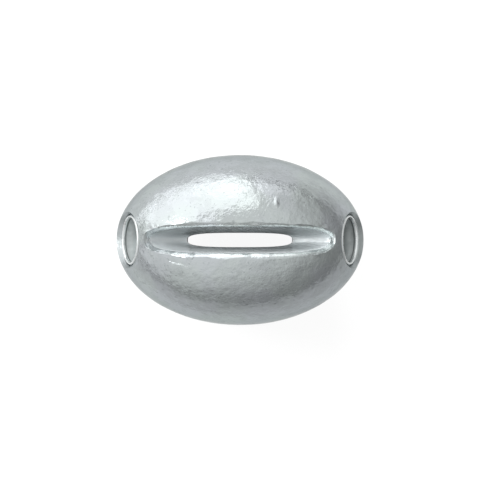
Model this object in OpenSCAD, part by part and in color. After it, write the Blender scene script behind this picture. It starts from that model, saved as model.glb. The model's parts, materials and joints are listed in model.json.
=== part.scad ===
// Slotted egg sinker: a cast body with a window through its middle and a line
// eyelet pressed into each end. X runs along the sinker, Z up through the window.
// The origin is the centre of the egg.

/* [Body] */
// Length of the egg from tip to tip
body_l = 36.3; // [32.3:0.5:60.3]
// Largest diameter of the egg
body_d = 25; // [21:0.5:40]

/* [Window] */
// Width of the window where it meets the skin
mouth_w = 5.2; // [4:0.1:8]
// Width of the window at its waist
waist_w = 2.1; // [1.2:0.1:3]
// Height of the straight stretch at the waist
waist_h = 9.5; // [3.4:0.1:10.5]
// Run of the slope at each end of the window, from its mouth to its waist
slope_l = 6.15; // [4:0.05:8]
// Width of the bevelled lip round the mouth
lip_w = 0.65; // [0.2:0.05:1]
// Depth of the bevelled lip below the skin
lip_h = 0.5; // [0.3:0.05:1.2]
// Body left between the window's mouth and the pocket at each end
end_wall = 0.85; // [0.6:0.05:4]
// Squareness of the mouth's outline, 2 for an ellipse
mouth_power = 2.9; // [2:0.1:4]
// Squareness of the waist's outline, 2 for an ellipse
waist_power = 3.2; // [2:0.1:5]
// How much the walls are scooped, 1 for straight ones
scoop = 1.2; // [1:0.1:2.2]

/* [Eyelets] */
// Angle by which each eyelet leans up from the long axis
eye_tilt = 20; // [16:1:24]
// How far each eyelet is set up its slope towards the window
eye_rise = 0.8; // [0:0.1:1.2]
// Inner diameter of the eyelet's mouth
eye_mouth_d = 6.5; // [5:0.1:7.5]
// Width of the rolled rim round the mouth
rim_w = 0.45; // [0.3:0.05:1]
// Height of the rolled rim above its seat
rim_h = 0.45; // [0.2:0.05:0.8]
// Depth of the cup from the seat down to the tube
cup_h = 2.4; // [1.6:0.1:3]
// Inner diameter of the tube that the line runs through
tube_d = 2; // [1.2:0.1:3]
// Wall of the cup and of the tube
eye_wall = 0.4; // [0.2:0.05:0.6]
// How far the tube ends short of the window's waist
tube_setback = 0.4; // [0.2:0.05:1]

/* [Pockets] */
// Depth of the rim's seat below the skin that was there
seat_sink = 0.8; // [0.5:0.05:1.2]
// Size of the bevel round the pocket
pocket_bevel = 0.5; // [0.1:0.05:0.8]
// Gap round the rim in its pocket
rim_gap = 0.1; // [0.05:0.05:0.3]
// Gap round the cup and the tube in their hole
eye_gap = 0.02; // [0.01:0.01:0.06]

/* [Hidden] */
egg_facets = 64;
round_facets = 96;
window_sides = 64;
cup_steps = 10;
rim_steps = 10;
// How far a cutter runs past the skin
overrun = 2;
// How far each hole runs on into the window
hole_reach = 2;
// The rim's crest lies this share of its width out from the mouth
crest_share = 0.4;
// Steps up a wall of the window, from its waist to its lip
wall_shares = [0, 0.12, 0.3, 0.5, 0.7, 0.86, 1];
// The lip's slightly rounded bevel: share of its width, share of its depth
lip_shares = [[0.27, 0.38], [0.62, 0.73], [1, 1]];

half_l = body_l / 2;
half_d = body_d / 2;
eye_mouth_r = eye_mouth_d / 2;
tube_r = tube_d / 2;
rim_r = eye_mouth_r + rim_w;
pocket_r = rim_r + rim_gap;

// Point of the egg's outline whose normal leans by eye_tilt, and its plane's distance from the centre
tangent_d = norm([half_l * cos(eye_tilt), half_d * sin(eye_tilt)]);
tangent_x = half_l * half_l * cos(eye_tilt) / tangent_d;
tangent_z = half_d * half_d * sin(eye_tilt) / tangent_d;
// The seat is sunk below the section of the egg that is as wide as the rim, then set up its slope
seat_share = sqrt(1 - pow(rim_r / half_d, 2)) - seat_sink / tangent_d;
seat_x = tangent_x * seat_share - eye_rise * sin(eye_tilt);
seat_z = tangent_z * seat_share + eye_rise * cos(eye_tilt);

// The window's mouth stops end_wall short of the pocket's inner edge, where its bevel starts
bevel_low = seat_sink - pocket_bevel;
pocket_edge_x = seat_x - pocket_r * sin(eye_tilt) + bevel_low * cos(eye_tilt);
mouth_l = 2 * (pocket_edge_x - end_wall);
waist_l = mouth_l - 2 * slope_l;

// The tube stops short of the window's waist, and its hole breaks through into it
waist_d = (seat_x - waist_l / 2) / cos(eye_tilt);
tube_l = waist_d - tube_setback;
hole_l = waist_d + hole_reach;

function signed_power(v, p) = sign(v) * pow(abs(v), p);
function outline_point(l, w, power, a) =
    [l / 2 * signed_power(cos(a), 2 / power), w / 2 * signed_power(sin(a), 2 / power)];
function skin_z(p) = half_d * sqrt(1 - pow(p.x / half_l, 2) - pow(p.y / half_d, 2));
function mix(a, b, t) = a + (b - a) * t;

// One line up the window's wall, from the waist through the lip to above the skin
function wall_line(a) =
    let (
        waist = outline_point(waist_l, waist_w, waist_power, a),
        sill = outline_point(mouth_l - 2 * lip_w, mouth_w - 2 * lip_w, mouth_power, a),
        mouth = outline_point(mouth_l, mouth_w, mouth_power, a),
        top = skin_z(mouth),
        low = top - lip_h,
        walls = [for (t = wall_shares)
            concat(mix(waist, sill, t), mix(waist_h / 2, low, pow(t, scoop)))],
        lips = [for (s = lip_shares) concat(mix(sill, mouth, s[0]), mix(low, top, s[1]))],
        above = concat(mix(sill, mouth, 1 + overrun / lip_w), top + overrun)
    )
    concat(walls, lips, [above]);

// The window's whole wall, ring by ring from below the skin to above it
function window_rings() =
    let (
        lines = [for (i = [0:window_sides - 1]) wall_line(360 * i / window_sides)],
        levels = len(lines[0])
    )
    concat(
        [for (k = [levels - 1:-1:0]) [for (line = lines) [line[k].x, line[k].y, -line[k].z]]],
        [for (k = [0:levels - 1]) [for (line = lines) line[k]]]
    );

module window_cut() {
    rings = window_rings();
    n = window_sides;
    last = (len(rings) - 1) * n;
    points = [for (ring = rings) each ring];
    foot = len(points);
    head = foot + 1;
    sides = [for (k = [0:len(rings) - 2]) for (i = [0:n - 1])
        let (a = k * n + i, b = k * n + (i + 1) % n) each [[a, a + n, b], [b, a + n, b + n]]];
    foot_cap = [for (i = [0:n - 1]) [foot, i, (i + 1) % n]];
    head_cap = [for (i = [0:n - 1]) [head, last + (i + 1) % n, last + i]];
    polyhedron(
        concat(points, [[0, 0, -half_d - overrun], [0, 0, half_d + overrun]]),
        concat(sides, foot_cap, head_cap)
    );
}

module egg() {
    outline = [for (i = [0:egg_facets]) let (a = 180 * i / egg_facets)
        [i == 0 || i == egg_facets ? 0 : half_d * sin(a), half_l * cos(a)]];
    rotate([0, 90, 0])
        rotate_extrude($fn = round_facets)
            polygon(outline);
}

// Moves its child from the origin, facing up, to an end's seat: side is 1 or -1
module at_seat(side) {
    translate([side * seat_x, 0, seat_z])
        rotate([0, side * (90 - eye_tilt), 0])
            children();
}

// A point of the cup's bowl, some share of the way from its mouth to its floor, further out by wall
function cup_point(t, wall) =
    [tube_r + (eye_mouth_r - tube_r) * cos(90 * t) + wall, -(cup_h + wall) * sin(90 * t)];

// The eyelet's outside below its seat, further out by gap, down to a depth
function shank_outline(gap, depth) = concat(
    [for (i = [0:cup_steps]) cup_point(i / cup_steps, eye_wall + gap)],
    [[tube_r + eye_wall + gap, -depth]]
);

module eyelet_hole() {
    rotate_extrude($fn = round_facets)
        polygon(concat(
            [
                [0, -hole_l],
                [0, bevel_low + overrun],
                [pocket_r + overrun, bevel_low + overrun],
                [pocket_r, bevel_low],
                [pocket_r, 0]
            ],
            shank_outline(eye_gap, hole_l)
        ));
}

module eyelet() {
    crest_r = eye_mouth_r + rim_w * crest_share;
    rim = [for (i = [0:rim_steps]) let (
            a = 180 * i / rim_steps,
            reach = crest_r - (a < 90 ? eye_mouth_r : 2 * crest_r - rim_r)
        ) [crest_r - reach * cos(a), rim_h * sin(a)]];
    inside = [for (i = [cup_steps:-1:1]) cup_point(i / cup_steps, 0)];
    rotate_extrude($fn = round_facets)
        polygon(concat([[tube_r, -tube_l]], inside, rim, shank_outline(0, tube_l)));
}

module sinker_body() {
    color([0.66, 0.69, 0.69])
        difference() {
            egg();
            window_cut();
            at_seat(1) eyelet_hole();
            at_seat(-1) eyelet_hole();
        }
}

module left_eyelet() {
    color([0.75, 0.77, 0.77])
        at_seat(-1) eyelet();
}

module right_eyelet() {
    color([0.75, 0.77, 0.77])
        at_seat(1) eyelet();
}

sinker_body();
left_eyelet();
right_eyelet();
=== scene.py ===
import json
import math

import bmesh
import bpy
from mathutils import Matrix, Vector


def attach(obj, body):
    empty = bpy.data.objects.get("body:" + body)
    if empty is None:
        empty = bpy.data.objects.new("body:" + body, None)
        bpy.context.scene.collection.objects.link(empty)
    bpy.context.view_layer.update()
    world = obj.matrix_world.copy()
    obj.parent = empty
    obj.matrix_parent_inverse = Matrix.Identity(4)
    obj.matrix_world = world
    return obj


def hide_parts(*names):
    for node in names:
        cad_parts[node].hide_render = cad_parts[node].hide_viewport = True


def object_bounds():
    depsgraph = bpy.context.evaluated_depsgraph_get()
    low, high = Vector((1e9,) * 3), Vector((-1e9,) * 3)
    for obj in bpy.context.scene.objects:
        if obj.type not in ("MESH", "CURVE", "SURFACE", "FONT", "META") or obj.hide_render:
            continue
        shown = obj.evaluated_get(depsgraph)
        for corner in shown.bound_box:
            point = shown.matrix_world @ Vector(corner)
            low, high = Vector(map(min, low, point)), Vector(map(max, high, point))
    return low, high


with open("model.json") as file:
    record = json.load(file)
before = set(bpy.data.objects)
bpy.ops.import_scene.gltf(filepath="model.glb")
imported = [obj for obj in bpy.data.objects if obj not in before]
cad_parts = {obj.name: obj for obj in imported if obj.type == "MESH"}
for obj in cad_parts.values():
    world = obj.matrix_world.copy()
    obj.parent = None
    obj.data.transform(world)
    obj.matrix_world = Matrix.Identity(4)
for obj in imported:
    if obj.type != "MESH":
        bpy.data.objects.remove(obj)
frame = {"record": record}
cad_low, cad_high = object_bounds()

MM = 0.001

# SINKER BODY. One lead casting: an egg with a long window right through its middle. A plate in the
# mould leaves the window, with scooped walls. The lip round each mouth is trimmed by hand to a bevel.
# The egg's skin is slightly uneven, as poured lead is, and satin where it met the mould.
BODY_LENGTH = 36.3 * MM
BODY_DIAMETER = 25 * MM
MOUTH_LENGTH = 27.75 * MM
MOUTH_WIDTH = 5.2 * MM
MOUTH_SQUARENESS = 2.9
WAIST_LENGTH = 15.45 * MM
WAIST_WIDTH = 2.1 * MM
WAIST_HEIGHT = 9.5 * MM
WAIST_SQUARENESS = 3.2
LIP_WIDTH = 0.65 * MM
LIP_DEPTH = 0.5 * MM
LIP_ROUNDNESS = 0.3
LIP_WAVE = 1.2 * MM
WAVE_SIZE = 2.8 * MM
# How fast the waver of a mouth's edge dies away over the skin
WAVE_FADE = 16
SCOOP = 1.2
DENT_SIZE = 5 * MM
DENT_DEPTH = 0.08 * MM
SEED = 3.0
SIDES = 360
RINGS = 200
SEAM = 0.0005 * MM
# Where each stretch of the skin ends, as a share of the way from the egg's equator to the window's waist
DOME_SHARE = 0.66
LIP_SHARE = 0.76
WALL_SHARE = 0.97


class Flow:
    """A number that flows through a node tree, so that a rule is written as plain sums."""

    def __init__(self, tree, socket):
        self.tree = tree
        self.socket = socket

    def through(self, operation, *others):
        node = self.tree.nodes.new("ShaderNodeMath")
        node.operation = operation
        for place, given in zip(node.inputs, (self, *others)):
            if isinstance(given, Flow):
                self.tree.links.new(given.socket, place)
            else:
                place.default_value = given
        return Flow(self.tree, node.outputs[0])

    def __add__(self, other):
        return self.through("ADD", other)

    def __sub__(self, other):
        return self.through("SUBTRACT", other)

    def __rsub__(self, other):
        return (self * -1).through("ADD", other)

    def __mul__(self, other):
        return self.through("MULTIPLY", other)

    def __truediv__(self, other):
        return self.through("DIVIDE", other)

    def to(self, power):
        return self.through("POWER", power)

    def root(self):
        return self.through("SQRT")

    def sine(self):
        return self.through("SINE")

    def cosine(self):
        return self.through("COSINE")

    def size(self):
        return self.through("ABSOLUTE")

    def sign(self):
        return self.through("SIGN")

    def clamped(self):
        held = self.through("ADD", 0)
        held.socket.node.use_clamp = True
        return held


def new_tree(name, sizes):
    """A geometry tree with named number inputs, and the flows that come from them."""
    tree = bpy.data.node_groups.new(name, "GeometryNodeTree")
    for title, kind in sizes:
        tree.interface.new_socket(title, in_out="INPUT", socket_type=kind)
    tree.interface.new_socket("Material", in_out="INPUT", socket_type="NodeSocketMaterial")
    tree.interface.new_socket("Mesh", in_out="OUTPUT", socket_type="NodeSocketGeometry")
    entry = tree.nodes.new("NodeGroupInput")
    flows = {title: Flow(tree, entry.outputs[title]) for title, kind in sizes}
    return tree, entry, flows


def grid_flows(tree, columns, rows):
    """A unit grid, and its two coordinates: 0 to 1 across and -1 to 1 up."""
    grid = tree.nodes.new("GeometryNodeMeshGrid")
    grid.inputs["Size X"].default_value = 1
    grid.inputs["Size Y"].default_value = 2
    grid.inputs["Vertices X"].default_value = columns + 1
    grid.inputs["Vertices Y"].default_value = rows + 1
    place = tree.nodes.new("GeometryNodeInputPosition")
    split = tree.nodes.new("ShaderNodeSeparateXYZ")
    tree.links.new(place.outputs[0], split.inputs[0])
    return grid.outputs["Mesh"], Flow(tree, split.outputs["X"]) + 0.5, Flow(tree, split.outputs["Y"])


def point(tree, x, y, z):
    """Three flows joined to one place."""
    join = tree.nodes.new("ShaderNodeCombineXYZ")
    for flow, place in zip((x, y, z), join.inputs):
        tree.links.new(flow.socket, place)
    return join.outputs[0]


def moved_to(tree, mesh, x, y, z):
    """The mesh with each point moved to x, y, z, and its seams closed."""
    setter = tree.nodes.new("GeometryNodeSetPosition")
    tree.links.new(mesh, setter.inputs["Geometry"])
    tree.links.new(point(tree, x, y, z), setter.inputs["Position"])
    merge = tree.nodes.new("GeometryNodeMergeByDistance")
    merge.inputs["Distance"].default_value = SEAM
    tree.links.new(setter.outputs["Geometry"], merge.inputs["Geometry"])
    return merge.outputs["Geometry"]


def soft_noise(tree, size, seed, where=None):
    """Soft noise round zero, taken at each point of the mesh or at the place given."""
    noise = tree.nodes.new("ShaderNodeTexNoise")
    noise.noise_dimensions = "4D"
    noise.inputs["Detail"].default_value = 2
    tree.links.new(seed.socket, noise.inputs["W"])
    tree.links.new(size.to(-1).socket, noise.inputs["Scale"])
    if where is not None:
        tree.links.new(where, noise.inputs["Vector"])
    return Flow(tree, noise.outputs["Fac"]) - 0.5


def dented(tree, mesh, depth, size, seed):
    """The mesh pushed in and out along its normals by soft noise."""
    push = soft_noise(tree, size, seed) * depth
    along = tree.nodes.new("ShaderNodeVectorMath")
    along.operation = "SCALE"
    normal = tree.nodes.new("GeometryNodeInputNormal")
    tree.links.new(normal.outputs[0], along.inputs[0])
    tree.links.new(push.socket, along.inputs["Scale"])
    setter = tree.nodes.new("GeometryNodeSetPosition")
    tree.links.new(mesh, setter.inputs["Geometry"])
    tree.links.new(along.outputs[0], setter.inputs["Offset"])
    return setter.outputs["Geometry"]


def finish_tree(tree, entry, mesh):
    """Ends a tree: instances made real, shaded smooth, with its material on."""
    real = tree.nodes.new("GeometryNodeRealizeInstances")
    smooth = tree.nodes.new("GeometryNodeSetShadeSmooth")
    paint = tree.nodes.new("GeometryNodeSetMaterial")
    leave = tree.nodes.new("NodeGroupOutput")
    tree.links.new(mesh, real.inputs[0])
    tree.links.new(real.outputs[0], smooth.inputs[0])
    tree.links.new(smooth.outputs[0], paint.inputs["Geometry"])
    tree.links.new(entry.outputs["Material"], paint.inputs["Material"])
    tree.links.new(paint.outputs[0], leave.inputs[0])
    return tree


def body_tree():
    tree, entry, given = new_tree("cast_egg_with_window", [
        ("Body Length", "NodeSocketFloat"),
        ("Body Diameter", "NodeSocketFloat"),
        ("Mouth Length", "NodeSocketFloat"),
        ("Mouth Width", "NodeSocketFloat"),
        ("Mouth Squareness", "NodeSocketFloat"),
        ("Waist Length", "NodeSocketFloat"),
        ("Waist Width", "NodeSocketFloat"),
        ("Waist Height", "NodeSocketFloat"),
        ("Waist Squareness", "NodeSocketFloat"),
        ("Lip Width", "NodeSocketFloat"),
        ("Lip Depth", "NodeSocketFloat"),
        ("Lip Roundness", "NodeSocketFloat"),
        ("Lip Wave", "NodeSocketFloat"),
        ("Wave Size", "NodeSocketFloat"),
        ("Scoop", "NodeSocketFloat"),
        ("Dent Size", "NodeSocketFloat"),
        ("Dent Depth", "NodeSocketFloat"),
        ("Seed", "NodeSocketFloat"),
    ])
    half_l = given["Body Length"] / 2
    half_d = given["Body Diameter"] / 2
    mesh, across, up = grid_flows(tree, SIDES, RINGS)
    angle = across * math.tau
    side, crest = angle.sine(), angle.cosine()
    way = up.size()
    dome = (way / DOME_SHARE).clamped()
    lip = ((way - DOME_SHARE) / (LIP_SHARE - DOME_SHARE)).clamped()
    wall = ((way - LIP_SHARE) / (WALL_SHARE - LIP_SHARE)).clamped()
    land = ((way - WALL_SHARE) / (1 - WALL_SHARE)).clamped()

    def outline(length, width, squareness):
        power = squareness.to(-1) * 2
        return (
            length / 2 * crest.sign() * crest.size().to(power),
            width / 2 * side.sign() * side.size().to(power),
        )

    mouth_x, mouth_y = outline(given["Mouth Length"], given["Mouth Width"], given["Mouth Squareness"])
    sill_x, sill_y = outline(
        given["Mouth Length"] - given["Lip Width"] * 2,
        given["Mouth Width"] - given["Lip Width"] * 2,
        given["Mouth Squareness"],
    )
    waist_x, waist_y = outline(given["Waist Length"], given["Waist Width"], given["Waist Squareness"])

    # The dome runs over a unit ball from the equator to the mouth, and is then stretched to the egg
    ball_x, ball_y = mouth_x / half_l, mouth_y / half_d
    ball_z = (1 - ball_x * ball_x - ball_y * ball_y).root()
    dome_x = crest + (ball_x - crest) * dome
    dome_y = side + (ball_y - side) * dome
    dome_z = ball_z * dome
    length = (dome_x * dome_x + dome_y * dome_y + dome_z * dome_z).root()

    # The lip is a bevel, rounded a little
    bend = lip * (math.pi / 2)
    lip_in = lip + (bend.sine() - lip) * given["Lip Roundness"]
    lip_down = lip + (1 - bend.cosine() - lip) * given["Lip Roundness"]

    # Its outer edge wavers, on the skin's side and on the bevel's
    mouth = point(tree, mouth_x, mouth_y, up.sign() * half_d)
    wave = soft_noise(tree, given["Wave Size"], given["Seed"], mouth) * given["Lip Wave"]
    wave = wave * dome.to(WAVE_FADE) * (1 - lip)

    rise = (1 - wall).to(given["Scoop"])
    sill_z = ball_z * half_d - given["Lip Depth"]
    x = dome_x / length * half_l + (sill_x - mouth_x) * lip_in + (waist_x - sill_x) * wall + crest * wave
    y = dome_y / length * half_d + (sill_y - mouth_y) * lip_in + (waist_y - sill_y) * wall + side * wave
    z = (
        dome_z / length * half_d
        - given["Lip Depth"] * lip_down
        - (sill_z - given["Waist Height"] / 2) * (1 - rise)
        - given["Waist Height"] / 2 * land
    )
    skin = moved_to(tree, mesh, x, y, z * up.sign())
    skin = dented(tree, skin, given["Dent Depth"], given["Dent Size"], given["Seed"])
    return finish_tree(tree, entry, skin)


# Each end of the casting is faced to a bevelled pocket and drilled through into the window. The
# eyelet that goes in sets the sizes of its pocket.
EYE_MOUTH = 6.5 * MM
EYE_WALL = 0.4 * MM
CUP_DEPTH = 2.4 * MM
RIM_WIDTH = 0.45 * MM
RIM_GAP = 0.1 * MM
POCKET_RADIUS = EYE_MOUTH / 2 + RIM_WIDTH + RIM_GAP
POCKET_DEPTH = 0.8 * MM
POCKET_BEVEL = 0.5 * MM
HOLE_REACH = 2.4 * MM
OVERRUN = 2 * MM
TURNED_SIDES = 128
STAGE_RINGS = 14
BORES = {
    mount["name"].removeprefix("line_eye_"): mount
    for mount in frame["record"]["mounts"]
    if mount["kind"] == "bore"
}


def seat_of(end):
    """The way an end's eyelet faces, the middle of its seat and its lean, from the record's bore."""
    axis = Vector(BORES[end]["axis"])
    reach = CUP_DEPTH + BORES[end]["dims"]["length_mm"] * MM / 2
    return axis, Vector(BORES[end]["pos_m"]) + axis * reach, (0, math.atan2(axis.x, axis.z), 0)


def tube_of(end):
    """The radius of an end's bore, and the length of its tube with the cup."""
    dims = BORES[end]["dims"]
    return dims["r_mm"] * MM, CUP_DEPTH + dims["length_mm"] * MM


def turned(tree, start, stages):
    """A closed skin turned about Z. Each stage adds a radius and a height to where the last one ended."""
    mesh, across, up = grid_flows(tree, TURNED_SIDES, STAGE_RINGS * len(stages))
    way = (up + 1) / 2 * len(stages)
    radius, height = start
    for place, stage in enumerate(stages):
        out, rise = stage((way - place).clamped())
        radius, height = radius + out, height + rise
    angle = across * math.tau
    return moved_to(tree, mesh, radius * angle.cosine(), radius * angle.sine(), height)


def bowl(share, flare, depth):
    """How far a bowl's wall has gone out and up from its floor, a quarter of an ellipse."""
    turn = share * (math.pi / 2)
    return turn.sine() * flare, (1 - turn.cosine()) * depth


def placed(tree, entry, mesh):
    """The mesh leant over about Y and moved to its seat."""
    move = tree.nodes.new("GeometryNodeTransform")
    tree.links.new(mesh, move.inputs["Geometry"])
    tree.links.new(entry.outputs["Seat"], move.inputs["Translation"])
    tree.links.new(entry.outputs["Lean"], move.inputs["Rotation"])
    return move.outputs["Geometry"]


def pocket_tree():
    tree, entry, given = new_tree("eyelet_pocket", [
        ("Tube Radius", "NodeSocketFloat"),
        ("Mouth Radius", "NodeSocketFloat"),
        ("Cup Depth", "NodeSocketFloat"),
        ("Wall", "NodeSocketFloat"),
        ("Hole Length", "NodeSocketFloat"),
        ("Pocket Radius", "NodeSocketFloat"),
        ("Pocket Depth", "NodeSocketFloat"),
        ("Bevel", "NodeSocketFloat"),
        ("Overrun", "NodeSocketFloat"),
        ("Seat", "NodeSocketVector"),
        ("Lean", "NodeSocketRotation"),
    ])
    shank = given["Tube Radius"] + given["Wall"]
    flare = given["Mouth Radius"] - given["Tube Radius"]
    floor = given["Cup Depth"] + given["Wall"]
    cup = given["Mouth Radius"] + given["Wall"]
    wall = given["Pocket Depth"] - given["Bevel"]
    mesh = turned(tree, (shank * 0, given["Hole Length"] * -1), [
        lambda t: (t * shank, t * 0),
        lambda t: (t * 0, t * (given["Hole Length"] - floor)),
        lambda t: bowl(t, flare, floor),
        lambda t: (t * (given["Pocket Radius"] - cup), t * 0),
        lambda t: (t * 0, t * wall),
        lambda t: (t * given["Overrun"], t * given["Overrun"]),
        lambda t: (t * -1 * (given["Pocket Radius"] + given["Overrun"]), t * 0),
    ])
    return finish_tree(tree, entry, placed(tree, entry, mesh))


def spread(tree, socket, low, high, start=0, end=1):
    """The socket's number, spread gently from low and high to start and end, and held there."""
    node = tree.nodes.new("ShaderNodeMapRange")
    node.interpolation_type = "SMOOTHSTEP"
    for title, value in (("From Min", low), ("From Max", high), ("To Min", start), ("To Max", end)):
        node.inputs[title].default_value = value
    tree.links.new(socket, node.inputs["Value"])
    return Flow(tree, node.outputs["Result"])


class Paint:
    """A material's nodes, on one Principled shader."""

    def __init__(self, name):
        self.material = bpy.data.materials.new(name)
        self.material.use_nodes = True
        self.tree = self.material.node_tree
        self.shader = self.tree.nodes["Principled BSDF"]
        place = self.tree.nodes.new("ShaderNodeTexCoord")
        self.place = place.outputs["Object"]

    def noise(self, size, detail=3, roughness=0.5, warp=0):
        """Noise of this size in metres, from 0 to 1."""
        node = self.tree.nodes.new("ShaderNodeTexNoise")
        node.inputs["Scale"].default_value = 1 / size
        node.inputs["Detail"].default_value = detail
        node.inputs["Roughness"].default_value = roughness
        node.inputs["Distortion"].default_value = warp
        self.tree.links.new(self.place, node.inputs["Vector"])
        return Flow(self.tree, node.outputs["Fac"])

    def stepped(self, flow, low, high):
        """0 where the flow is at low or past it, 1 where it is at high or past it, and smooth between."""
        return spread(self.tree, flow.socket, low, high)

    def mixed(self, share, first, second):
        """Two colours mixed by a flow."""
        node = self.tree.nodes.new("ShaderNodeMix")
        node.data_type = "RGBA"
        for title, colour in (("A", first), ("B", second)):
            place = next(i for i in node.inputs if i.name == title and i.type == "RGBA")
            if isinstance(colour, tuple):
                place.default_value = (*colour, 1)
            else:
                self.tree.links.new(colour, place)
        self.tree.links.new(share.socket, node.inputs["Factor"])
        return next(o for o in node.outputs if o.type == "RGBA")

    def axes(self):
        """The point's own X, Y and Z."""
        split = self.tree.nodes.new("ShaderNodeSeparateXYZ")
        self.tree.links.new(self.place, split.inputs[0])
        return [Flow(self.tree, socket) for socket in split.outputs]

    def spot(self, middle, reach):
        """1 in the middle, falling to 0 at these distances from it along X, Y and Z."""
        apart = self.tree.nodes.new("ShaderNodeVectorMath")
        apart.operation = "SUBTRACT"
        self.tree.links.new(self.place, apart.inputs[0])
        apart.inputs[1].default_value = middle
        scaled = self.tree.nodes.new("ShaderNodeVectorMath")
        scaled.operation = "DIVIDE"
        self.tree.links.new(apart.outputs[0], scaled.inputs[0])
        scaled.inputs[1].default_value = reach
        length = self.tree.nodes.new("ShaderNodeVectorMath")
        length.operation = "LENGTH"
        self.tree.links.new(scaled.outputs[0], length.inputs[0])
        return (1 - Flow(self.tree, length.outputs["Value"])).clamped()

    def bumped(self, height, depth, under=None):
        """A bump of this height in metres on top of another."""
        node = self.tree.nodes.new("ShaderNodeBump")
        node.inputs["Distance"].default_value = depth
        self.tree.links.new(height.socket, node.inputs["Height"])
        if under:
            self.tree.links.new(under, node.inputs["Normal"])
        return node.outputs["Normal"]

    def set(self, title, value):
        """Sets one of the shader's inputs, to a number or to what flows into it."""
        place = self.shader.inputs[title]
        if isinstance(value, Flow):
            self.tree.links.new(value.socket, place)
        elif isinstance(value, bpy.types.NodeSocket):
            self.tree.links.new(value, place)
        else:
            place.default_value = value


# New lead is a bright grey with a faint green and lavender cast, matt in patches, with fine grain and
# small dark pits. The window's walls were never rubbed bright, and the pockets are cut, so both are
# duller. The faced pockets round the eyelets are also painted darker, which is painted shade in those
# recesses. The trimmed lips are paler and scatter more light; the paleness is partly a painted highlight
# along the lips.
LEAD_GREEN = (0.545, 0.592, 0.588)
LEAD_LAVENDER = (0.545, 0.578, 0.6)
LEAD_MATT = (0.47, 0.505, 0.51)
PIT = (0.3, 0.33, 0.335)
WALL_GREY = (0.52, 0.55, 0.56)
POCKET_PAINTED_SHADE = (0.34, 0.37, 0.37)
TRIMMED_AND_HIGHLIGHT = (0.68, 0.72, 0.72)
EDGE_TINT = (0.6, 0.62, 0.62, 1)
# How strongly each of these covers the lead's own colour
PATCH_COVER = 0.4
PIT_COVER = 0.5
POCKET_SHADE_COVER = 0.55
TRIMMED_HIGHLIGHT_COVER = 0.3
WALL_COVER = 0.8
# How rough the rubbed skin is, and what each of these adds to it
SATIN = 0.025
PATCH_ROUGH = 0.11
GRAIN_ROUGH = 0.02
CUT_ROUGH = 0.25
# How much of the metal's mirror the walls and the trimmed lips have lost, and the lips less in patches
WALL_DULL = 0.45
TRIMMED_DULL = 0.2
PATCH_SPARED = 0.6
CLOUD_SIZE = 7 * MM
CLOUD_EDGE = (0.4, 0.6)
PATCH_SIZE = 2.4 * MM
PATCH_EDGE = (0.5, 0.54)
SWELL_SIZE = 1.9 * MM
SWELL_DEPTH = 0.16 * MM
GRAIN_SIZE = 0.35 * MM
GRAIN_DEPTH = 0.022 * MM
PIT_SIZE = 0.5 * MM
PIT_EDGE = (0.65, 0.71)
# The walls and the lips begin below these shares of the way from the egg's centre to its skin, from none
# to full, and both end short of the pockets
WALL_TOP = (0.945, 0.92)
LIP_TOP = (0.992, 0.977)
WALL_END = (14.3 * MM, 14 * MM)
# How far outside the faced pocket the lead is as cast, and fully cut
FACED_EDGE = (0.1 * MM, 0.03 * MM)
# A blister by the window's upper edge, and a lap where the lead folded as it set
BLISTER = (5.3 * MM, 5.4 * MM, 10.6 * MM)
BLISTER_REACH = (0.45 * MM, 1 * MM, 1 * MM)
LAP = (-9 * MM, -3.8 * MM, 10.3 * MM)
LAP_REACH = (2.2 * MM, 1.6 * MM, 2 * MM)
LAP_EDGE = (-5.1 * MM, -5.4 * MM)
LAP_SLANT = 0.25
LAP_SHARE = 0.5
RIPPLE = 0.9 * MM
RIPPLE_SIZE = 0.6 * MM
FOLD_DEPTH = 0.25 * MM


def over_seat(paint):
    """Each point's height over its own end's seat, and its distance from that eyelet's axis."""
    x, y, z = paint.axes()
    axis, seat, _ = seat_of("right")
    forth, up = x.size() - seat.x, z - seat.z
    aside = up * axis.x - forth * axis.z
    return forth * axis.x + up * axis.z, (aside * aside + y * y).root()


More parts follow.
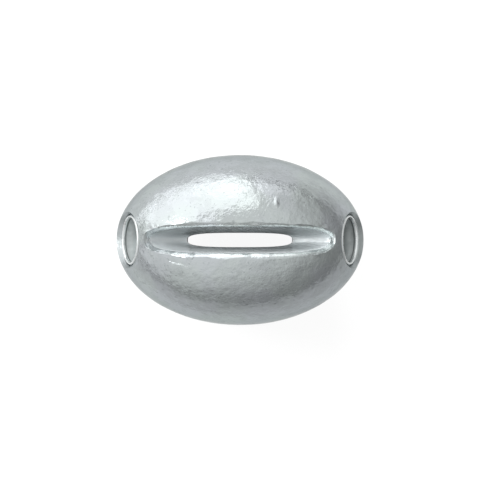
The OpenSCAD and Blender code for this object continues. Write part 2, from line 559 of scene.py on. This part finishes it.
def cast_lead():
    paint = Paint("cast_lead")
    patches = paint.stepped(paint.noise(PATCH_SIZE, detail=6, roughness=0.62, warp=0.4), *PATCH_EDGE)
    cloud = paint.stepped(paint.noise(CLOUD_SIZE), *CLOUD_EDGE)
    grain = paint.noise(GRAIN_SIZE, detail=2, roughness=0.6)
    pits = paint.stepped(paint.noise(PIT_SIZE, detail=2), *PIT_EDGE)

    x, y, z = paint.axes()
    along, across, up = x / (BODY_LENGTH / 2), y / (BODY_DIAMETER / 2), z / (BODY_DIAMETER / 2)
    depth = (along * along + across * across + up * up).root()
    ends = paint.stepped(x.size(), *WALL_END)
    walls = paint.stepped(depth, *WALL_TOP) * ends
    trimmed_and_highlit = paint.stepped(depth, *LIP_TOP) * (1 - walls) * ends * (1 - patches * PATCH_SPARED)

    # The faced pockets: what lies in the cone that opens at 45 degrees from the pocket's foot
    height, apart = over_seat(paint)
    foot = POCKET_RADIUS - POCKET_DEPTH + POCKET_BEVEL
    faced_and_shaded = paint.stepped(apart - height - foot, *FACED_EDGE)

    colour = paint.mixed(patches * PATCH_COVER, paint.mixed(cloud, LEAD_GREEN, LEAD_LAVENDER), LEAD_MATT)
    colour = paint.mixed(pits * PIT_COVER, colour, PIT)
    # The faced pockets are painted darker: painted shade in the recess round each eyelet.
    colour = paint.mixed(faced_and_shaded * POCKET_SHADE_COVER, colour, POCKET_PAINTED_SHADE)
    # The trimmed lips are painted paler, partly as a painted highlight along the window's edges.
    colour = paint.mixed(trimmed_and_highlit * TRIMMED_HIGHLIGHT_COVER, colour, TRIMMED_AND_HIGHLIGHT)
    paint.set("Base Color", paint.mixed(walls * WALL_COVER, colour, WALL_GREY))
    paint.set("Specular Tint", EDGE_TINT)
    paint.set("Metallic", 1 - walls * WALL_DULL - trimmed_and_highlit * TRIMMED_DULL)
    worked = patches * PATCH_ROUGH + grain * GRAIN_ROUGH + (walls + faced_and_shaded) * CUT_ROUGH
    paint.set("Roughness", worked + SATIN)

    ripple = paint.noise(RIPPLE_SIZE, roughness=0.6)
    blister = paint.spot(BLISTER, BLISTER_REACH) * ripple
    edge = paint.stepped(y + ripple * RIPPLE + x * LAP_SLANT, *LAP_EDGE)
    lap = paint.spot(LAP, LAP_REACH) * edge * LAP_SHARE
    swells = paint.bumped(paint.noise(SWELL_SIZE, detail=4, roughness=0.6), SWELL_DEPTH)
    folds = paint.bumped(blister + lap, FOLD_DEPTH, swells)
    paint.set("Normal", paint.bumped(grain, GRAIN_DEPTH, folds))
    return paint.material


# Edges sharper than this are shaded as edges. Where a cutter went through, faces thinner than a sliver
# are closed up, and those with more corners than this are split.
SHARP_ANGLE = math.radians(50)
SLIVER = 0.001 * MM
MOST_CORNERS = 4


def grown(name, tree, settings, cutter=None):
    """The plain mesh that a tree makes with these settings, less what the cutter takes."""
    holder = bpy.data.objects.new(name, bpy.data.meshes.new(name))
    bpy.context.scene.collection.objects.link(holder)
    modifier = holder.modifiers.new("form", "NODES")
    modifier.node_group = tree
    for socket in tree.interface.items_tree:
        if socket.in_out == "INPUT":
            modifier[socket.identifier] = settings[socket.name]
    if cutter:
        cut = holder.modifiers.new("pockets", "BOOLEAN")
        cut.operation = "DIFFERENCE"
        cut.solver = "EXACT"
        cut.object = cutter
    bpy.context.view_layer.update()
    evaluated = holder.evaluated_get(bpy.context.evaluated_depsgraph_get())
    mesh = bpy.data.meshes.new_from_object(evaluated)
    holder.modifiers.clear()
    holder.data = mesh
    mesh.name = name
    if cutter:
        # The cut leaves slivers and many-sided faces along its edge
        form = bmesh.new()
        form.from_mesh(mesh)
        bmesh.ops.dissolve_degenerate(form, edges=form.edges, dist=SLIVER)
        bmesh.ops.triangulate(form, faces=[face for face in form.faces if len(face.verts) > MOST_CORNERS])
        form.to_mesh(mesh)
        form.free()
    mesh.set_sharp_from_angle(angle=SHARP_ANGLE)
    return holder


lead = cast_lead()
pocket_form = pocket_tree()
gather = bmesh.new()
for end in BORES:
    _, seat, lean = seat_of(end)
    tube_radius, tube_length = tube_of(end)
    cutter = grown("pocket", pocket_form, {
        "Tube Radius": tube_radius,
        "Mouth Radius": EYE_MOUTH / 2,
        "Cup Depth": CUP_DEPTH,
        "Wall": EYE_WALL,
        "Hole Length": tube_length + HOLE_REACH,
        "Pocket Radius": POCKET_RADIUS,
        "Pocket Depth": POCKET_DEPTH,
        "Bevel": POCKET_BEVEL,
        "Overrun": OVERRUN,
        "Seat": seat,
        "Lean": lean,
        "Material": lead,
    })
    gather.from_mesh(cutter.data)
    bpy.data.objects.remove(cutter)
pocket_mesh = bpy.data.meshes.new("pockets")
gather.to_mesh(pocket_mesh)
gather.free()
pockets = bpy.data.objects.new("pockets", pocket_mesh)
bpy.context.scene.collection.objects.link(pockets)

body = grown("cast_body", body_tree(), {
    "Body Length": BODY_LENGTH,
    "Body Diameter": BODY_DIAMETER,
    "Mouth Length": MOUTH_LENGTH,
    "Mouth Width": MOUTH_WIDTH,
    "Mouth Squareness": MOUTH_SQUARENESS,
    "Waist Length": WAIST_LENGTH,
    "Waist Width": WAIST_WIDTH,
    "Waist Height": WAIST_HEIGHT,
    "Waist Squareness": WAIST_SQUARENESS,
    "Lip Width": LIP_WIDTH,
    "Lip Depth": LIP_DEPTH,
    "Lip Roundness": LIP_ROUNDNESS,
    "Lip Wave": LIP_WAVE,
    "Wave Size": WAVE_SIZE,
    "Scoop": SCOOP,
    "Dent Size": DENT_SIZE,
    "Dent Depth": DENT_DEPTH,
    "Seed": SEED,
    "Material": lead,
}, cutter=pockets)
bpy.data.objects.remove(pockets)
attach(body, "root")
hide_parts("sinker_body")

# EYELETS. A nickel-plated brass eyelet is pressed into each end: a narrow rolled rim, a bowl-shaped cup
# and a tube that the line runs through. The rim is rubbed bright. The cup is duller, with a thin dark
# ring of painted shade just under the rim, and it is painted darker the deeper it goes, as painted shade.
RIM_HEIGHT = 0.45 * MM
RIM_CREST = 0.4
NICKEL_RUBBED = (0.8, 0.83, 0.83)
NICKEL_DULL = (0.46, 0.49, 0.49)
NICKEL_WORN = (0.36, 0.39, 0.39)
UNDER_RIM_SHADE = (0.08, 0.09, 0.09)
DEEP_CUP_SHADE = (0.16, 0.18, 0.18)
# Heights over the seat, from none to full
RUBBED_FROM = (0.02 * MM, 0.12 * MM)
UNDER_RIM_SHADE_BELOW = (0.05 * MM, -0.05 * MM)
UNDER_RIM_SHADE_ABOVE = (-0.25 * MM, -0.12 * MM)
DEEP_CUP_SHADE_BELOW = (-0.3 * MM, -1.7 * MM)
UNDER_RIM_SHADE_COVER = 0.8
WEAR_COVER = 0.5
CUP_MIRROR = 0.75
CUP_ROUGH = 0.42
RIM_ROUGH = 0.27
WEAR_ROUGH = 0.1
WEAR_SIZE = 0.8 * MM
WEAR_EDGE = (0.4, 0.65)
DIMPLE_SIZE = 0.5 * MM
DIMPLE_DEPTH = 0.008 * MM


def eyelet_tree():
    tree, entry, given = new_tree("rolled_eyelet", [
        ("Tube Radius", "NodeSocketFloat"),
        ("Tube Length", "NodeSocketFloat"),
        ("Mouth Radius", "NodeSocketFloat"),
        ("Cup Depth", "NodeSocketFloat"),
        ("Wall", "NodeSocketFloat"),
        ("Rim Width", "NodeSocketFloat"),
        ("Rim Height", "NodeSocketFloat"),
        ("Crest Share", "NodeSocketFloat"),
        ("Seat", "NodeSocketVector"),
        ("Lean", "NodeSocketRotation"),
    ])
    flare = given["Mouth Radius"] - given["Tube Radius"]
    floor = given["Cup Depth"] + given["Wall"]
    throat = given["Tube Length"] - given["Cup Depth"]
    inner = given["Rim Width"] * given["Crest Share"]
    outer = given["Rim Width"] - inner

    def rim(t):
        turn = (t * math.pi).cosine()
        inwards = (1 - turn.through("MAXIMUM", 0)) * outer + (turn * -1).through("MAXIMUM", 0) * inner
        return inwards * -1, (t * math.pi).sine() * given["Rim Height"]

    def into_cup(t):
        out, up = bowl(1 - t, flare, given["Cup Depth"])
        return out - flare, up - given["Cup Depth"]

    mesh = turned(tree, (given["Tube Radius"] + given["Wall"], given["Tube Length"] * -1), [
        lambda t: (t * 0, t * (given["Tube Length"] - floor)),
        lambda t: bowl(t, flare, floor),
        lambda t: (t * (given["Rim Width"] - given["Wall"]), t * 0),
        rim,
        into_cup,
        lambda t: (t * 0, t * throat * -1),
        lambda t: (t * given["Wall"], t * 0),
    ])
    return finish_tree(tree, entry, placed(tree, entry, mesh))


def nickel_plate():
    paint = Paint("nickel_plate")
    worn = paint.stepped(paint.noise(WEAR_SIZE, detail=4, roughness=0.6), *WEAR_EDGE)
    height, _ = over_seat(paint)
    rubbed = paint.stepped(height, *RUBBED_FROM)
    # Darker the deeper into the cup: painted shade.
    deep_cup_shade = paint.stepped(height, *DEEP_CUP_SHADE_BELOW)
    # A thin dark ring just under the rim: painted shade.
    under_rim_shade = paint.stepped(height, *UNDER_RIM_SHADE_ABOVE) * paint.stepped(height, *UNDER_RIM_SHADE_BELOW)
    cup = paint.mixed(deep_cup_shade, paint.mixed(worn * WEAR_COVER, NICKEL_DULL, NICKEL_WORN), DEEP_CUP_SHADE)
    cup = paint.mixed(under_rim_shade * UNDER_RIM_SHADE_COVER, cup, UNDER_RIM_SHADE)
    paint.set("Base Color", paint.mixed(rubbed, cup, NICKEL_RUBBED))
    paint.set("Metallic", rubbed * (1 - CUP_MIRROR) + CUP_MIRROR)
    paint.set("Roughness", worn * WEAR_ROUGH + rubbed * (RIM_ROUGH - CUP_ROUGH) + CUP_ROUGH)
    paint.set("Normal", paint.bumped(paint.noise(DIMPLE_SIZE), DIMPLE_DEPTH))
    return paint.material


nickel = nickel_plate()
eyelet_form = eyelet_tree()
for end in BORES:
    _, seat, lean = seat_of(end)
    tube_radius, tube_length = tube_of(end)
    eyelet = grown(end + "_rolled_eyelet", eyelet_form, {
        "Tube Radius": tube_radius,
        "Tube Length": tube_length,
        "Mouth Radius": EYE_MOUTH / 2,
        "Cup Depth": CUP_DEPTH,
        "Wall": EYE_WALL,
        "Rim Width": RIM_WIDTH,
        "Rim Height": RIM_HEIGHT,
        "Crest Share": RIM_CREST,
        "Seat": seat,
        "Lean": lean,
        "Material": nickel,
    })
    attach(eyelet, "root")
    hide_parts(end + "_eyelet")

# CAMERA. It looks straight down on the window from far away.
FRAME_WIDTH = 70.5 * MM
CAMERA_DISTANCE = 600 * MM
SENSOR = 36
lens = bpy.data.cameras.new("camera")
lens.sensor_width = SENSOR
lens.lens = SENSOR * CAMERA_DISTANCE / FRAME_WIDTH
camera = bpy.data.objects.new("camera", lens)
camera.location = (0, 0, CAMERA_DISTANCE)
bpy.context.scene.collection.objects.link(camera)
bpy.context.scene.camera = camera

# TABLE. The sinker lies on a white table, which keeps its soft shadow. What metal mirrors of the table
# near the sinker is a glowing patch, which is no lamp and glows only in reflections: a painted
# reflection. Around that, the table is greyer in what metal mirrors than it is to light.
TABLE_HALF = 2000 * MM
TABLE_WHITE = 0.88
TABLE_TO_CAMERA = 0.92
TABLE_TO_METAL = 0.225
GLOW_PATCH_MIDDLE = (-6 * MM, 13 * MM, cad_low.z)
GLOW_PATCH_INNER = 18 * MM
GLOW_PATCH_OUTER = 68 * MM
GLOW_PATCH_TO_METAL = 1
AROUND_TO_METAL = 0.05


def shown(tree, kind):
    """1 for this kind of ray, 0 for any other."""
    rays = tree.nodes.new("ShaderNodeLightPath")
    return Flow(tree, rays.outputs[f"Is {kind} Ray"])


signs = [(-1, -1), (1, -1), (1, 1), (-1, 1)]
corners = [(x * TABLE_HALF, y * TABLE_HALF, cad_low.z) for x, y in signs]
table_mesh = bpy.data.meshes.new("table")
table_mesh.from_pydata(corners, [], [(0, 1, 2, 3)])
table = bpy.data.objects.new("table", table_mesh)
bpy.context.scene.collection.objects.link(table)
white = bpy.data.materials.new("white_table")
white.use_nodes = True
tree = white.node_tree
tree.nodes.clear()
matt = tree.nodes.new("ShaderNodeBsdfDiffuse")
tone = shown(tree, "Glossy") * (TABLE_TO_METAL - TABLE_WHITE) + TABLE_WHITE
tree.links.new(tone.socket, matt.inputs["Color"])
place = tree.nodes.new("ShaderNodeTexCoord")
reach = tree.nodes.new("ShaderNodeVectorMath")
reach.operation = "DISTANCE"
reach.inputs[1].default_value = GLOW_PATCH_MIDDLE
tree.links.new(place.outputs["Object"], reach.inputs[0])
# A glowing patch that only metal mirrors: a painted reflection.
glow_patch = spread(tree, reach.outputs["Value"], GLOW_PATCH_INNER, GLOW_PATCH_OUTER, GLOW_PATCH_TO_METAL, AROUND_TO_METAL)
share = shown(tree, "Camera") * TABLE_TO_CAMERA
share = share.through("MAXIMUM", shown(tree, "Transmission") * TABLE_TO_CAMERA)
share = share.through("MAXIMUM", shown(tree, "Glossy") * glow_patch)
glow = tree.nodes.new("ShaderNodeEmission")
blend = tree.nodes.new("ShaderNodeMixShader")
surface = tree.nodes.new("ShaderNodeOutputMaterial")
tree.links.new(share.socket, blend.inputs["Fac"])
tree.links.new(matt.outputs[0], blend.inputs[1])
tree.links.new(glow.outputs[0], blend.inputs[2])
tree.links.new(blend.outputs[0], surface.inputs["Surface"])
table.data.materials.append(white)

# ROOM. It is lighter towards the upper left and darker across from it, with a pale wall behind. What
# the camera sees of it past the table is white.
ROOM_LIGHT = (-0.52, 0.32, 0.79)
ROOM_DARK_SIDE = 0.3
ROOM_LIGHT_SIDE = 0.98
BACK_WALL = (0.05, 1, -0.02)
BACK_WALL_SHINE = 0.4
# Cosines of the angles between which each of them fades
ROOM_FADE = (-0.6, 0.85)
BACK_WALL_FADE = (0.8, 0.98)
world = bpy.data.worlds.new("studio")
bpy.context.scene.world = world
world.use_nodes = True
tree = world.node_tree


def towards(side):
    """The cosine of the angle between the way a ray leaves and a side."""
    way = tree.nodes.new("ShaderNodeTexCoord")
    dot = tree.nodes.new("ShaderNodeVectorMath")
    dot.operation = "DOT_PRODUCT"
    dot.inputs[1].default_value = Vector(side).normalized()
    tree.links.new(way.outputs["Generated"], dot.inputs[0])
    return dot.outputs["Value"]


room = spread(tree, towards(ROOM_LIGHT), *ROOM_FADE, ROOM_DARK_SIDE, ROOM_LIGHT_SIDE)
room = room + spread(tree, towards(BACK_WALL), *BACK_WALL_FADE, 0, BACK_WALL_SHINE)
room = room.through("MAXIMUM", shown(tree, "Camera"))
tree.links.new(room.socket, tree.nodes["Background"].inputs["Strength"])
tree.nodes["Background"].inputs["Color"].default_value = (1, 1, 1, 1)


# LAMPS. A low key lamp on the upper left makes the white highlight, and a small lamp on the left is
# mirrored in the right-hand scoop. Two fills, too soft to be mirrored, light what scatters their light:
# one from the left the window's walls, one from above its lower lip and the cups.
def lamp(name, way, distance, width, height, power):
    """A lamp that faces the middle of the sinker. Its lengths are in metres, its power in watts."""
    light = bpy.data.lights.new(name, "AREA")
    light.shape = "RECTANGLE"
    light.size, light.size_y = width, height
    light.energy = power
    box = bpy.data.objects.new(name, light)
    box.location = Vector(way).normalized() * distance
    box.rotation_euler = Vector(way).to_track_quat("Z", "Y").to_euler()
    bpy.context.scene.collection.objects.link(box)
    return box


lamp("key", (-0.5, 0.78, 0.36), distance=0.11, width=0.17, height=0.14, power=0.05)
lamp("strip", (-0.72, 0.16, 0.66), distance=0.3, width=0.1, height=0.1, power=0.09)
fill = lamp("fill", (-0.7, 0.4, 0.62), distance=0.3, width=0.2, height=0.2, power=2.6)
fill.visible_glossy = False
over = lamp("over", (0.12, 0.88, 0.45), distance=0.3, width=0.08, height=0.06, power=1)
over.visible_glossy = False
bpy.context.scene.view_settings.view_transform = "Standard"
